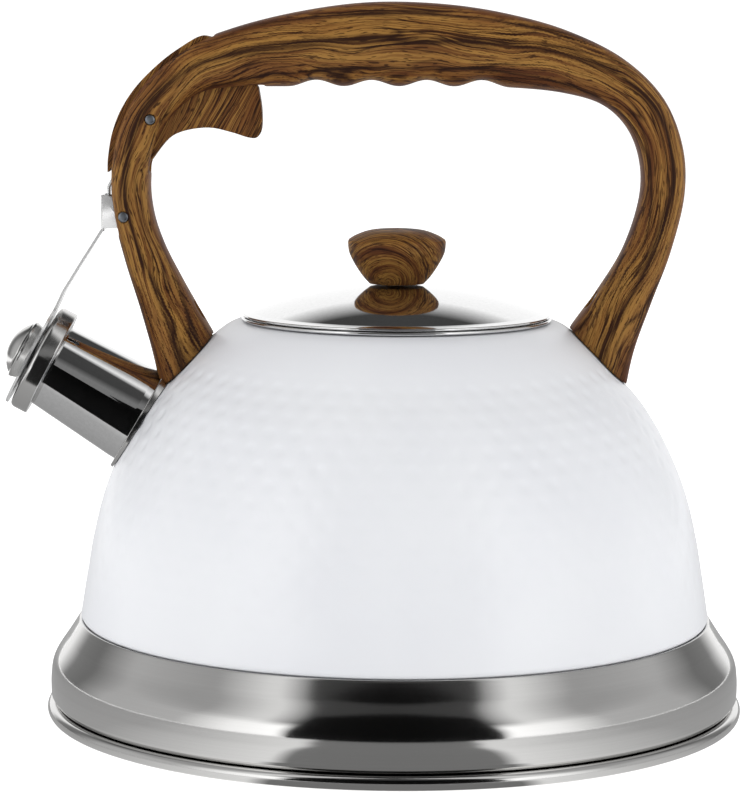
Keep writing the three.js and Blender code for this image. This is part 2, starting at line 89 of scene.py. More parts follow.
def arc(cx, cy, radius, start, end, steps):
    angles = np.radians(np.linspace(start, end, steps + 1))
    return [(cx + radius * math.cos(a), cy + radius * math.sin(a)) for a in angles]


def rounded(corners, steps=4, closed=True):
    """An outline whose corners (x, y, radius) are rounded off."""
    made = []
    count = len(corners)
    for i, corner in enumerate(corners):
        point = np.array(corner[:2], float)
        radius = corner[2] if len(corner) > 2 else 0
        ends = not closed and i in (0, count - 1)
        if radius <= 0 or ends:
            made.append(point)
            continue
        back = np.array(corners[i - 1][:2], float) - point
        ahead = np.array(corners[(i + 1) % count][:2], float) - point
        room = 0.49 * min(np.linalg.norm(back), np.linalg.norm(ahead))
        back /= np.linalg.norm(back)
        ahead /= np.linalg.norm(ahead)
        half = math.acos(max(-1, min(1, float(back @ ahead)))) / 2
        reach = min(radius / math.tan(half), room)
        start, end = point + back * reach, point + ahead * reach
        for t in np.linspace(0, 1, steps + 1):
            made.append((1 - t) ** 2 * start + 2 * t * (1 - t) * point + t**2 * end)
    return made


# ---------------------------------------------------------------- meshes
def new_object(name, verts, faces):
    """A smooth-shaded object from points in millimetres, its faces turned outwards."""
    mesh = bpy.data.meshes.new(name)
    mesh.from_pydata((np.array(verts, float) * MM).tolist(), [], faces)
    bm = bmesh.new()
    bm.from_mesh(mesh)
    bmesh.ops.remove_doubles(bm, verts=bm.verts, dist=1e-7)
    bmesh.ops.recalc_face_normals(bm, faces=bm.faces)
    if bm.calc_volume(signed=True) < 0:
        bmesh.ops.reverse_faces(bm, faces=bm.faces)
    bm.to_mesh(mesh)
    bm.free()
    obj = bpy.data.objects.new(name, mesh)
    bpy.context.scene.collection.objects.link(obj)
    return obj


def shade(obj, angle=35):
    """Smooth shading with creases where faces meet at more than the angle."""
    obj.data.shade_smooth()
    obj.data.set_sharp_from_angle(angle=math.radians(angle))
    return obj


def turned(name, profile, segments=160, closed=True):
    """A solid of revolution round Z from (radius, height) points; a closed profile rings the axis."""
    p = np.array([q[:2] for q in profile], float)
    angles = 2 * math.pi * np.arange(segments) / segments
    ring = np.stack([np.cos(angles), np.sin(angles)], 1)
    verts = [(r * c, r * s, z) for r, z in p for c, s in ring]
    rows = len(p) if closed else len(p) - 1
    faces = []
    for i in range(rows):
        a, b = i * segments, ((i + 1) % len(p)) * segments
        for j in range(segments):
            k = (j + 1) % segments
            faces.append((a + j, a + k, b + k, b + j))
    return clean(new_object(name, verts, faces))


def clean(obj):
    """Drops faces that have collapsed to a line."""
    bm = bmesh.new()
    bm.from_mesh(obj.data)
    bmesh.ops.dissolve_degenerate(bm, dist=1e-7, edges=bm.edges)
    bmesh.ops.recalc_face_normals(bm, faces=bm.faces)
    bm.to_mesh(obj.data)
    bm.free()
    return obj


def plate(name, outline, half_width, bevel=0.0, bevel_steps=3):
    """A plate seen from the side: an (x, z) outline, half a thickness each way along Y, its rims rounded."""
    front = [(x, -half_width, z) for x, z in outline]
    count = len(front)
    verts = front + [(x, half_width, z) for x, z in outline]
    faces = [list(range(count)), list(range(2 * count - 1, count - 1, -1))]
    faces += [[i, (i + 1) % count, count + (i + 1) % count, count + i] for i in range(count)]
    obj = new_object(name, verts, faces)
    if bevel:
        bm = bmesh.new()
        bm.from_mesh(obj.data)
        rims = [e for e in bm.edges if abs(e.verts[0].co.y - e.verts[1].co.y) < 1e-6]
        bmesh.ops.bevel(
            bm, geom=rims, offset=bevel * MM, segments=bevel_steps, profile=0.5, affect="EDGES",
            clamp_overlap=True,
        )
        bm.to_mesh(obj.data)
        bm.free()
    return obj


def cross_bar(name, pivot, profile, segments=40):
    """A turned piece laid along Y through a pivot (x, z)."""
    obj = turned(name, profile, segments, closed=False)
    lay = Matrix.Rotation(math.radians(-90), 4, "X")
    obj.data.transform(Matrix.Translation((pivot[0] * MM, 0, pivot[1] * MM)) @ lay)
    return obj


def swept(name, path, radius, sides=12):
    """A round wire along a path."""
    p = np.array(path, float)
    along = np.gradient(p, axis=0)
    along /= np.linalg.norm(along, axis=1)[:, None]
    side = np.cross(along[0], (0.3, 0.5, 0.8))
    verts = []
    for point, ahead in zip(p, along):
        side = side - ahead * (side @ ahead)
        side = side / np.linalg.norm(side)
        up = np.cross(ahead, side)
        for angle in 2 * math.pi * np.arange(sides) / sides:
            verts.append(point + radius * (math.cos(angle) * side + math.sin(angle) * up))
    faces = [
        (i * sides + j, i * sides + (j + 1) % sides, (i + 1) * sides + (j + 1) % sides, (i + 1) * sides + j)
        for i in range(len(p) - 1) for j in range(sides)
    ]
    last = (len(p) - 1) * sides
    faces += [list(range(sides)), list(range(last, last + sides))]
    return new_object(name, verts, faces)


def lofted(name, rings):
    """A closed skin over rings of points."""
    size = len(rings[0])
    faces = [
        (r * size + i, r * size + (i + 1) % size, (r + 1) * size + (i + 1) % size, (r + 1) * size + i)
        for r in range(len(rings) - 1) for i in range(size)
    ]
    last = (len(rings) - 1) * size
    faces += [list(range(size)), list(range(last, last + size))]
    return new_object(name, np.concatenate(rings), faces)


def settle(obj):
    """Applies an object's modifiers to its mesh."""
    graph = bpy.context.evaluated_depsgraph_get()
    mesh = bpy.data.meshes.new_from_object(obj.evaluated_get(graph))
    obj.modifiers.clear()
    obj.data = mesh
    return obj


def combine(obj, tools, operation="DIFFERENCE"):
    """Cuts the tools out of an object, or joins them on, and drops the tools."""
    for tool in tools:
        change = obj.modifiers.new("combine", "BOOLEAN")
        change.operation = operation
        change.solver = "EXACT"
        change.object = tool
        settle(obj)
        bpy.data.objects.remove(tool)
    return obj


def moved(obj, matrix):
    obj.data.transform(matrix)
    return obj


def show(obj, look, body, slot, *nodes):
    """Gives a piece its material and body, and lets it stand for frame nodes. The slot argument is not used.
    """
    obj.data.materials.clear()
    obj.data.materials.append(look)
    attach(obj, body)
    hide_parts(*nodes)
    return obj


# ---------------------------------------------------------------- material nodes
def node(tree, kind, inputs=None, **settings):
    made = tree.nodes.new(kind)
    for key, value in settings.items():
        setattr(made, key, value)
    for key, value in (inputs or {}).items():
        socket = made.inputs[key]
        if isinstance(value, bpy.types.NodeSocket):
            tree.links.new(value, socket)
        else:
            socket.default_value = value
    return made


def calc(tree, operation, *values, clamp=False):
    made = node(tree, "ShaderNodeMath", dict(enumerate(values)), operation=operation, use_clamp=clamp)
    return made.outputs[0]


def combine_xyz(tree, x, y, z):
    return node(tree, "ShaderNodeCombineXYZ", {0: x, 1: y, 2: z}).outputs[0]


def noise(tree, vector, scale=1.0, detail=2.0, roughness=0.5, distortion=0.0):
    inputs = {
        "Vector": vector, "Scale": scale, "Detail": detail, "Roughness": roughness, "Distortion": distortion,
    }
    return node(tree, "ShaderNodeTexNoise", inputs).outputs[0]


def ramp(tree, value, stops, interpolation="LINEAR"):
    made = node(tree, "ShaderNodeValToRGB", {0: value})
    band = made.color_ramp
    band.interpolation = interpolation
    while len(band.elements) < len(stops):
        band.elements.new(0.5)
    for element, (place, color) in zip(band.elements, stops):
        element.position = place
        element.color = (*color, 1) if len(color) == 3 else color
    return made.outputs[0]


def mixed(tree, factor, a, b):
    made = node(tree, "ShaderNodeMix", {0: factor, 6: a, 7: b}, data_type="RGBA")
    return made.outputs[2]


def bumped(tree, height, distance_mm, strength=1.0):
    inputs = {"Height": height, "Distance": distance_mm * MM, "Strength": strength}
    return node(tree, "ShaderNodeBump", inputs).outputs[0]


def new_material(name):
    material = bpy.data.materials.new(name)
    material.use_nodes = True
    tree = material.node_tree
    return material, tree, tree.nodes["Principled BSDF"]


def place_mm(tree):
    """The object-space place in millimetres, as x, y and z."""
    coords = node(tree, "ShaderNodeTexCoord").outputs["Object"]
    scaled = node(tree, "ShaderNodeVectorMath", {0: coords, "Scale": 1 / MM}, operation="SCALE").outputs[0]
    split = node(tree, "ShaderNodeSeparateXYZ", {0: scaled})
    return scaled, split.outputs[0], split.outputs[1], split.outputs[2]


def link(tree, socket, target):
    tree.links.new(socket, target)


# ---------------------------------------------------------------- materials
GOLD = (0.262, 0.132, 0.032)
TAN = (0.195, 0.086, 0.021)
BROWN = (0.080, 0.026, 0.008)
DARK = (0.018, 0.006, 0.003)
# Painted shade: the deeper brown laid on the handle's rounded rims, where its faces turn from the light.
RIM_SHADE_BROWN = (0.105, 0.036, 0.018)
# Thin dark lines of the print: rate across the grain, seed, the level they follow and their width.
THIN_LINES = ((0.15, 11.3, 0.5, 0.020), (0.30, 17.9, 0.46, 0.018), (0.30, 29.3, 0.56, 0.014))
# Broad veins of the handle: middle, wander and width across the grain in millimetres, and seed.
HANDLE_VEINS = ((8.8, 2.0, 0.9, 1.5), (1.0, 5.0, 1.9, 4.5), (-6.5, 3.0, 0.8, 9.5))


def streak(tree, along, across, centre, wander_mm, width_mm, seed):
    """A dark vein that runs along the grain, wandering to either side and swelling as it goes."""
    path = noise(tree, combine_xyz(tree, calc(tree, "MULTIPLY", along, 0.013), seed, 0.0), detail=2.0)
    swell = noise(tree, combine_xyz(tree, calc(tree, "MULTIPLY", along, 0.045), seed + 5, 0.0), detail=1.0)
    drift = calc(tree, "MULTIPLY", calc(tree, "SUBTRACT", path, 0.5), 2 * wander_mm)
    middle = calc(tree, "ADD", drift, centre)
    away = calc(tree, "ABSOLUTE", calc(tree, "SUBTRACT", across, middle))
    width = calc(tree, "MULTIPLY", swell, 2 * width_mm)
    return calc(tree, "SUBTRACT", 1.0, calc(tree, "DIVIDE", away, width), clamp=True)


def wood_look(name, streaks=1.0, offset=0.0, veins=(), dark=0.0):
    """A printed striped grain that follows the piece's own "grain" coordinates: along, across and depth."""
    material, tree, bsdf = new_material(name)
    grain = node(tree, "ShaderNodeAttribute", attribute_name="grain").outputs["Vector"]
    split = node(tree, "ShaderNodeSeparateXYZ", {0: grain})
    along = calc(tree, "ADD", split.outputs[0], offset)
    across, depth = split.outputs[1], split.outputs[2]
    slow_along = calc(tree, "MULTIPLY", along, 0.018)
    slow_across = calc(tree, "MULTIPLY", across, 0.05)
    wander = noise(tree, combine_xyz(tree, slow_along, slow_across, 0.0), detail=2.0)
    shifted = calc(tree, "ADD", across, calc(tree, "MULTIPLY", calc(tree, "SUBTRACT", wander, 0.5), 14.0))
    turn = calc(tree, "MULTIPLY", depth, 0.35)

    def field(along_rate, across_rate, seed, detail=3.0, rough=0.55):
        vector = combine_xyz(
            tree, calc(tree, "MULTIPLY", along, along_rate),
            calc(tree, "MULTIPLY", shifted, across_rate * streaks),
            calc(tree, "ADD", calc(tree, "MULTIPLY", turn, across_rate), seed),
        )
        return noise(tree, vector, detail=detail, roughness=rough)

    def darken(base, factor, colour):
        return mixed(tree, factor, base, (*colour, 1))

    broad = field(0.012, 0.16, 3.1)
    fine = field(0.030, 1.5, 7.7, detail=4.0, rough=0.65)
    base = ramp(tree, broad, [(0.34, BROWN), (0.43, TAN), (0.52, GOLD), (0.62, GOLD), (0.74, TAN)])
    base = darken(base, ramp(tree, fine, [(0.40 + dark, (0.85,) * 3), (0.56 + dark, (0.0,) * 3)]), BROWN)
    ragged = calc(tree, "MULTIPLY", calc(tree, "SUBTRACT", fine, 0.5), 0.06)
    for rate, seed, middle, width in THIN_LINES:
        lines = calc(tree, "ABSOLUTE", calc(tree, "SUBTRACT", field(0.008, rate, seed, 1.5, 0.45), middle))
        edge = calc(tree, "ADD", lines, ragged)
        base = darken(base, ramp(tree, edge, [(0.0, (0.95,) * 3), (width, (0.0,) * 3)]), DARK)
    frayed = calc(tree, "ADD", across, calc(tree, "MULTIPLY", ragged, 30.0))
    for centre, wander_mm, width_mm, seed in veins:
        vein = streak(tree, along, frayed, centre, wander_mm, width_mm, seed)
        broken = calc(tree, "MULTIPLY", vein, ramp(tree, fine, [(0.42, (1.0,) * 3), (0.66, (0.35,) * 3)]))
        base = darken(base, ramp(tree, broken, [(0.05, (0.0,) * 3), (0.75, (0.95,) * 3)]), DARK)
    pore_along = calc(tree, "MULTIPLY", along, 0.28)
    pore_across = calc(tree, "MULTIPLY", shifted, 3.4)
    pores = noise(tree, combine_xyz(tree, pore_along, pore_across, depth), detail=1.0)
    base = darken(base, ramp(tree, pores, [(0.60, (0, 0, 0)), (0.66, (0.8,) * 3)]), DARK)
    # Painted shade: toward the handle's rims the print darkens to a deeper brown, as the rounded faces there
    # turn from the light.
    rim = node(tree, "ShaderNodeAttribute", attribute_name="rim").outputs["Fac"]
    base = darken(base, ramp(tree, rim, [(0.80, (0, 0, 0)), (1.0, (0.75,) * 3)]), RIM_SHADE_BROWN)
    link(tree, base, bsdf.inputs["Base Color"])
    rough = calc(tree, "ADD", calc(tree, "MULTIPLY", fine, 0.16), 0.42)
    link(tree, rough, bsdf.inputs["Roughness"])
    bsdf.inputs["Specular IOR Level"].default_value = 0.10
    link(tree, bumped(tree, calc(tree, "ADD", fine, pores), 0.06, 0.35), bsdf.inputs["Normal"])
    return material


def enamel():
    material, tree, bsdf = new_material("enamel_white")
    place = place_mm(tree)[0]
    cloud = noise(tree, place, 0.02, 2.0)
    base = ramp(tree, cloud, [(0.35, (0.665, 0.675, 0.705)), (0.65, (0.695, 0.705, 0.73))])
    link(tree, base, bsdf.inputs["Base Color"])
    peel = noise(tree, place, 0.55, 2.0)
    link(tree, calc(tree, "ADD", calc(tree, "MULTIPLY", peel, 0.10), 0.36), bsdf.inputs["Roughness"])
    link(tree, bumped(tree, peel, 0.02, 0.5), bsdf.inputs["Normal"])
    bsdf.inputs["Coat Weight"].default_value = 0.25
    bsdf.inputs["Coat Roughness"].default_value = 0.22
    return material


def steel(name, color, roughness, brushed, bump_mm, anisotropic=0.0, metal=1.0):
    """Metal with fine marks: rings round Z where it is brushed, faint wipe marks where it is polished."""
    material, tree, bsdf = new_material(name)
    place, x, y, z = place_mm(tree)
    radius = calc(tree, "SQRT", calc(tree, "ADD", calc(tree, "POWER", x, 2.0), calc(tree, "POWER", y, 2.0)))
    if brushed:
        vector = combine_xyz(tree, calc(tree, "MULTIPLY", radius, 6.0), calc(tree, "MULTIPLY", z, 6.0), 0.0)
        marks = noise(tree, vector, 1.0, 3.0, 0.7)
    else:
        marks = noise(tree, place, 0.9, 4.0, 0.6)
    smudge = noise(tree, place, 0.05, 3.0)
    tint = ramp(tree, marks, [(0.3, tuple(0.93 * c for c in color)), (0.7, color)])
    link(tree, tint, bsdf.inputs["Base Color"])
    bsdf.inputs["Metallic"].default_value = metal
    spread = calc(tree, "MULTIPLY", calc(tree, "SUBTRACT", marks, 0.5), 0.10 if brushed else 0.02)
    haze = calc(tree, "MULTIPLY", calc(tree, "SUBTRACT", smudge, 0.5), 0.06)
    rough = calc(tree, "ADD", calc(tree, "ADD", spread, haze), roughness, clamp=True)
    link(tree, rough, bsdf.inputs["Roughness"])
    link(tree, bumped(tree, marks, bump_mm, 0.6), bsdf.inputs["Normal"])
    if anisotropic:
        bsdf.inputs["Anisotropic"].default_value = anisotropic
        tangent = node(tree, "ShaderNodeTangent", direction_type="RADIAL", axis="Z").outputs[0]
        link(tree, tangent, bsdf.inputs["Tangent"])
    return material


WOOD = wood_look("wood_print", veins=HANDLE_VEINS)
WOOD_TRIGGER = wood_look("wood_print_trigger", streaks=2.0, offset=140.0, dark=0.07)
WOOD_KNOB = wood_look("wood_print_knob", streaks=1.6, offset=60.0, dark=0.02)
ENAMEL = enamel()
BASE_STEEL = steel("base_steel", (0.68, 0.675, 0.665), 0.10, True, 0.003)
SATIN = steel("satin_steel", (0.66, 0.655, 0.645), 0.17, True, 0.004, 0.3)
ARM_STEEL = steel("arm_steel", (0.84, 0.84, 0.84), 0.20, False, 0.002, metal=0.75)
MIRROR = steel("mirror_steel", (0.78, 0.78, 0.78), 0.055, False, 0.002)
PINS = steel("pin_steel", (0.24, 0.26, 0.29), 0.36, False, 0.01)
ALUMINIUM = steel("core_aluminium", (0.72, 0.73, 0.74), 0.4, True, 0.01)


def set_grain(obj, coordinates, rim=None):
    """Stores each point's grain coordinates, in millimetres, and how close it is to a rim."""
    grain = obj.data.attributes.new("grain", "FLOAT_VECTOR", "POINT")
    grain.data.foreach_set("vector", np.asarray(coordinates, np.float32).ravel())
    near = obj.data.attributes.new("rim", "FLOAT", "POINT")
    values = np.zeros(len(coordinates)) if rim is None else rim
    near.data.foreach_set("value", np.asarray(values, np.float32))


def points_mm(obj):
    co = np.zeros(len(obj.data.vertices) * 3, np.float32)
    obj.data.vertices.foreach_get("co", co)
    return co.reshape(-1, 3).astype(float) / MM


# ---------------------------------------------------------------- vessel
capsule_high = frame_box("base_capsule")[1]
pan_high = frame_box("base_pan")[1]
shell_low, shell_high = frame_box("body_shell")
BASE_RADIUS = capsule_high[0]
BEAD_HEIGHT = capsule_high[2]
PAN_RADIUS = pan_high[0]
PAINT_Z = pan_high[2] + GAP
PAINT_RADIUS = shell_high[0]
SPIGOT_Z = shell_low[2]
SPIGOT_RADIUS = PAINT_RADIUS - 1.5
WALL = 1.0

SHELL_POINTS = [
    (PAINT_RADIUS, PAINT_Z), (96.2, 44), (93.7, 58), (89.9, 72), (83.8, 86), (76.4, 98), (67.2, 108),
    (60.5, 115), (54.5, 120.2), (50.5, 122.5), (46, shell_high[2]),
]
shell_outside = spaced(catmull(SHELL_POINTS), 0.8)
DIMPLES_AROUND = 56
DIMPLE_ROW = 5.4
DIMPLE_RADIUS = 2.9
DIMPLE_DEPTHS = [(38, 0.0), (44, 0.17), (78, 0.22), (87, 0.40), (109, 0.40), (113, 0.0)]  # by height


def dimpled(points):
    """Presses a small bowl into the outside at each point of a staggered grid that runs round the vessel."""
    radius = np.hypot(points[:, 0], points[:, 1])
    rise = np.concatenate([[0], np.cumsum(np.linalg.norm(np.diff(shell_outside, axis=0), axis=1))])
    along = np.interp(points[:, 2], shell_outside[:, 1], rise) / DIMPLE_ROW
    row = np.round(along)
    turns = np.arctan2(points[:, 1], points[:, 0]) * DIMPLES_AROUND / (2 * math.pi) + 0.5 * (row % 2)
    aside = (turns - np.round(turns)) * 2 * math.pi * radius / DIMPLES_AROUND
    away = np.hypot(aside, (along - row) * DIMPLE_ROW) / DIMPLE_RADIUS
    skin = np.interp(points[:, 2], shell_outside[:, 1], shell_outside[:, 0])
    deepest = np.interp(points[:, 2], *np.array(DIMPLE_DEPTHS).T) * (radius > skin - 0.4)
    depth = deepest * np.clip(1 - away**2, 0, 1) ** 2
    scale = 1 - depth / np.maximum(radius, 1)
    return points * np.stack([scale, scale, np.ones_like(scale)], 1)


def body_shell():
    inside = sideways(spaced(catmull(SHELL_POINTS), 4), -WALL)[::-1][:-2]
    profile = [
        (SPIGOT_RADIUS, PAINT_Z), (PAINT_RADIUS - 0.5, PAINT_Z), *shell_outside[1:], *inside,
        (SPIGOT_RADIUS - WALL, PAINT_Z + 3), (SPIGOT_RADIUS - WALL, SPIGOT_Z), (SPIGOT_RADIUS, SPIGOT_Z),
    ]
    obj = turned("enamel_shell", profile, 10 * DIMPLES_AROUND)
    points = dimpled(points_mm(obj))
    obj.data.vertices.foreach_set("co", (points * MM).astype(np.float32).ravel())
    return shade(combine(obj, [spout_room(-14, 14)]), 40)


def base_pan():
    floor = BEAD_HEIGHT + GAP
    top = (PAINT_RADIUS + 0.3, PAINT_Z - GAP)
    shoulder = catmull([(PAN_RADIUS, floor + 2), (PAN_RADIUS, 12.5), (106.5, 18), (102, 25), top], 10)
    shoulder = [tuple(p) for p in shoulder]
    inside = [tuple(p) for p in sideways(shoulder, -WALL)[::-1][3:]]
    foot_corners = [(PAN_RADIUS - 8, floor), (PAN_RADIUS - 1.2, floor, 1.2), (PAN_RADIUS, floor + 2)]
    foot = rounded(foot_corners, 5, closed=False)
    rim_corners = [shoulder[-3], (*top, 0.35), (SPIGOT_RADIUS + 0.6, PAINT_Z - GAP, 0.3), inside[0]]
    rim = rounded(rim_corners, 4, closed=False)
    profile = [
        (0, floor), *foot[:-1], *shoulder[:-3], *rim[:-1], *inside,
        (PAN_RADIUS - 3, floor + WALL), (0, floor + WALL),
    ]
    return shade(turned("steel_pan", profile, 256, closed=False), 40)


def base_capsule():
    half = BEAD_HEIGHT / 2
    inner = BASE_RADIUS - BEAD_HEIGHT - 0.8
    lip = [(inner + 1.5, BEAD_HEIGHT), (inner, BEAD_HEIGHT, 0.4), (inner, 1.2, 0.4), (0, 1.2)]
    bead = arc(BASE_RADIUS - half, half, half, -90, 90, 16)
    profile = [(0, 0), *bead, *rounded(lip, 3, closed=False)]
    return shade(turned("base_bead", profile, 256, closed=False), 40)


def seat_ring():
    low, high = frame_box("seat_ring")
    edge, top = high[0], high[2]
    neck = edge - 3.1
    profile = rounded([
        (neck - 0.9, low[2], 0.3), (neck, low[2], 0.3), (neck, top - 0.9, 0.5), (edge, top - 0.95, 0.5),
        (edge, top, 0.6), (neck - 0.9, top, 0.8),
    ])
    return shade(turned("lid_seat", profile, 192), 50)


# ---------------------------------------------------------------- spout and its mouth
def along_frame(x, z, elevation):
    """A frame whose Z points away from the spout's mouth at an elevation."""
    turn = Matrix.Rotation(math.radians(elevation - 90), 4, "Y")
    return Matrix.Translation((x * MM, 0, z * MM)) @ turn


SPOUT = along_frame(-80.2, 92.5, 30.4)
SPOUT_LENGTH = 37.3
MOUTH_AT = SPOUT @ Vector((0, 0, SPOUT_LENGTH * MM)) / MM
MOUTH = along_frame(MOUTH_AT.x, MOUTH_AT.z, 28)
SPOUT_ROOT_RADIUS = 15.3
SPOUT_MOUTH_RADIUS = 13.0
COLLAR_RADIUS = 17.25
COLLAR_LENGTH = 5.8
FLANGE_RADIUS = 17.9


def spout_room(low, high):
    """The cylinder that pieces round the spout keep clear of."""
    radius = SPOUT_ROOT_RADIUS + GAP
    room = turned("spout_room", [(0, low), (radius, low), (radius, high), (0, high)], 96, closed=False)
    return moved(room, SPOUT)


def spout_tube():
    end = SPOUT_LENGTH - 1.3
    profile = rounded([
        (SPOUT_ROOT_RADIUS - 1, -6, 0.3), (SPOUT_ROOT_RADIUS, -6, 0.3), (SPOUT_ROOT_RADIUS, 2, 3),
        (SPOUT_MOUTH_RADIUS, end, 0.3), (SPOUT_MOUTH_RADIUS - 1, end, 0.3),
    ])
    return shade(moved(turned("spout_barrel", profile, 128), SPOUT))


def spout_collar():
    inner = SPOUT_MOUTH_RADIUS + GAP
    profile = rounded([
        (inner + 0.5, -COLLAR_LENGTH, 0.3), (COLLAR_RADIUS, -COLLAR_LENGTH, 0.6), (COLLAR_RADIUS, 0, 1.8),
        (inner, 0, 0.4),
    ], 7)
    return shade(moved(turned("mouth_band", profile, 128), MOUTH))


def over_shell(distance):
    """The space within a distance of the vessel's skin."""
    skin = sideways(spaced(catmull(SHELL_POINTS), 2), distance)
    profile = [(0, PAINT_Z), *skin, (0, skin[-1][1])]
    return turned("over_shell", profile, 256, closed=False)


def spout_flange():
    """A flat-faced ring on the vessel's skin round the spout. The front foot stands over its top."""
    inner = SPOUT_ROOT_RADIUS + GAP
    face = rounded([(inner, 0, 0.25), (FLANGE_RADIUS, 0, 0.5), (FLANGE_RADIUS, -2)], 5, closed=False)
    section = [(inner, -8), *face[:-1], (FLANGE_RADIUS, -8)]
    obj = moved(turned("spout_flange_ring", section, 160), SPOUT)
    return shade(combine(obj, [over_shell(GAP), handle_blank(GAP)]), 40)


# ---------------------------------------------------------------- handle
# Ribs from the front foot over the grip to the rear foot:
# outer edge x, z, inner edge x, z, half width along Y. The end ribs lie inside the vessel.
RIBS = np.array([
    (-72.5, 95.1, -53.3, 112.7, 13), (-75, 109.6, -59.4, 123.1, 12.2), (-79.5, 126.1, -66.7, 136, 10),
    (-84.3, 141.5, -72.2, 146.9, 9.4), (-87.6, 155, -75.3, 156.4, 9.6), (-88.7, 166.5, -76.2, 166.6, 10),
    (-86.5, 181, -73.8, 178.8, 10.4), (-78.9, 195.4, -68.5, 186.5, 10.8), (-64.4, 207.6, -60.8, 192.9, 11.2),
    (-51.2, 213.1, -49.8, 194.9, 11.4), (-31.5, 218.2, -31.3, 195.4, 11.5), (-9.4, 221.3, -9.3, 195.5, 11.5),
    (12.8, 221, 12.9, 195.6, 11.5), (32.4, 218.3, 32.7, 195.5, 11.5), (52.2, 212.9, 51.2, 193.8, 11.2),
    (69.9, 204.1, 63, 190.3, 10.8), (82, 192.2, 70.1, 184.1, 10.4), (88, 177.6, 74.2, 175.5, 10),
    (88.9, 163.6, 75.2, 164, 9.8), (84.8, 144.9, 70.3, 146.5, 9.4), (79.4, 129.9, 62.4, 133, 9.6),
    (73.8, 113.5, 54.2, 121.4, 11), (70.5, 95.5, 46.7, 109.3, 12),
])
RIB_STEPS = 14
SECTION_POINTS = 56
SECTION_SQUARENESS = 2.7
SCALLOP_PITCH = 17.0
SCALLOP_DEPTH = 2.0
SCALLOP_FIRST = -25.2
SCALLOP_COUNT = 4
SLOT_HALF = 4.9
SLOT_OUTLINE = [
    (-100, 149.5), (-84.6, 149.7), (-80.4, 152.1), (-79.4, 157.5), (-79.2, 163.5), (-78.7, 168.9),
    (-66.1, 168.9), (-41.3, 175.5), (-41.3, 203.5), (-56.7, 207.7), (-56.7, 215.5), (-100, 215.5),
]
TRIGGER_PIVOT = (-75.9, 185.3)
ARM_PIVOT = (-84.2, 155.3)
PIN_RADIUS = 1.6
FOOT_FRAMES = [((-66.6, 110), -21.5, 0), ((62.6, 114.4), 26.5, 180)]
FOOT_SCREW_RISE = 13
HANDLE_VOXEL = 0.5


def scallop(x):
    turns = (x - SCALLOP_FIRST) / SCALLOP_PITCH
    inside = (turns > -0.5) & (turns < SCALLOP_COUNT - 0.5)
    return np.where(inside, SCALLOP_DEPTH * (1 + np.cos(2 * math.pi * turns)) / 2, 0)


def between(start, end, start_knot, end_knot, t):
    """The point at t on a line that leaves its start at one knot and reaches its end at another."""
    return ((end_knot - t) * start + (t - start_knot) * end) / (end_knot - start_knot)


def centripetal(points, per_span):
    """A curve through the points that doesn't overshoot where they are unevenly spaced."""
    p = [np.array(q, float) for q in points]
    p = [2 * p[0] - p[1], *p, 2 * p[-1] - p[-2]]
    made = []
    for a, b, c, d in zip(p, p[1:], p[2:], p[3:]):
        steps = [max(np.linalg.norm(end - start), 1e-6) ** 0.5 for start, end in ((a, b), (b, c), (c, d))]
        knots = np.cumsum([0, *steps])
        for t in np.linspace(knots[1], knots[2], per_span, endpoint=False):
            ab = between(a, b, knots[0], knots[1], t)
            bc = between(b, c, knots[1], knots[2], t)
            cd = between(c, d, knots[2], knots[3], t)
            abc = between(ab, bc, knots[0], knots[2], t)
            bcd = between(bc, cd, knots[1], knots[3], t)
            made.append(between(abc, bcd, knots[1], knots[2], t))
    return np.array([*made, p[-2]])


def handle_rails(scalloped=True):
    outer = centripetal(RIBS[:, 0:2], RIB_STEPS)
    inner = centripetal(RIBS[:, 2:4], RIB_STEPS)
    if scalloped:
        inner[:, 1] += scallop(inner[:, 0])
    halves = np.interp(np.arange(len(outer)) / RIB_STEPS, np.arange(len(RIBS)), RIBS[:, 4])
    return outer, inner, halves


def handle_section(outer, inner, half):
    angles = 2 * math.pi * np.arange(SECTION_POINTS) / SECTION_POINTS
    power = 2 / SECTION_SQUARENESS
    across = np.sign(np.cos(angles)) * np.abs(np.cos(angles)) ** power
    aside = np.sign(np.sin(angles)) * np.abs(np.sin(angles)) ** power
    middle, reach = (outer + inner) / 2, (outer - inner) / 2
    flat = middle + across[:, None] * reach
    return np.stack([flat[:, 0], half * aside, flat[:, 1]], 1)


def foot_screw_profile(margin, extra):
    head = 6.2
    return [(0, -5 - margin), (1.6 + margin, -5 - margin), (1.6 + margin, head), (3 + margin, head),
            (3 + margin, head + 1.8 + extra), (0, head + 1.8 + extra)]


def foot_matrix(at, lean, turn):
    place = Matrix.Translation((at[0] * MM, 0, at[1] * MM))
    return place @ Matrix.Rotation(math.radians(lean), 4, "Y") @ Matrix.Rotation(math.radians(turn), 4, "Z")


def foot_screw_matrix(foot):
    """Lays a screw across its foot, with its head outwards."""
    lay = Matrix.Translation((0, 0, FOOT_SCREW_RISE * MM)) @ Matrix.Rotation(math.radians(90), 4, "Y")
    return foot_matrix(*foot) @ lay


def foot_screw(name, foot, margin=0.0, extra=0.0):
    obj = turned(name, foot_screw_profile(margin, extra), 48, closed=False)
    return moved(obj, foot_screw_matrix(foot))


def box(name, low, high):
    corners = [(x, y, z) for x in (low[0], high[0]) for y in (low[1], high[1]) for z in (low[2], high[2])]
    faces = [(0, 1, 3, 2), (4, 6, 7, 5), (0, 4, 5, 1), (2, 3, 7, 6), (0, 2, 6, 4), (1, 5, 7, 3)]
    return new_object(name, corners, faces)


def tongue_pocket(foot):
    half_thick, half_wide = 1.2 + GAP, 4.5 + GAP
    pocket = box("pocket", (-half_thick, -half_wide, -12), (half_thick, half_wide, 30 + GAP))
    return moved(pocket, foot_matrix(*foot))


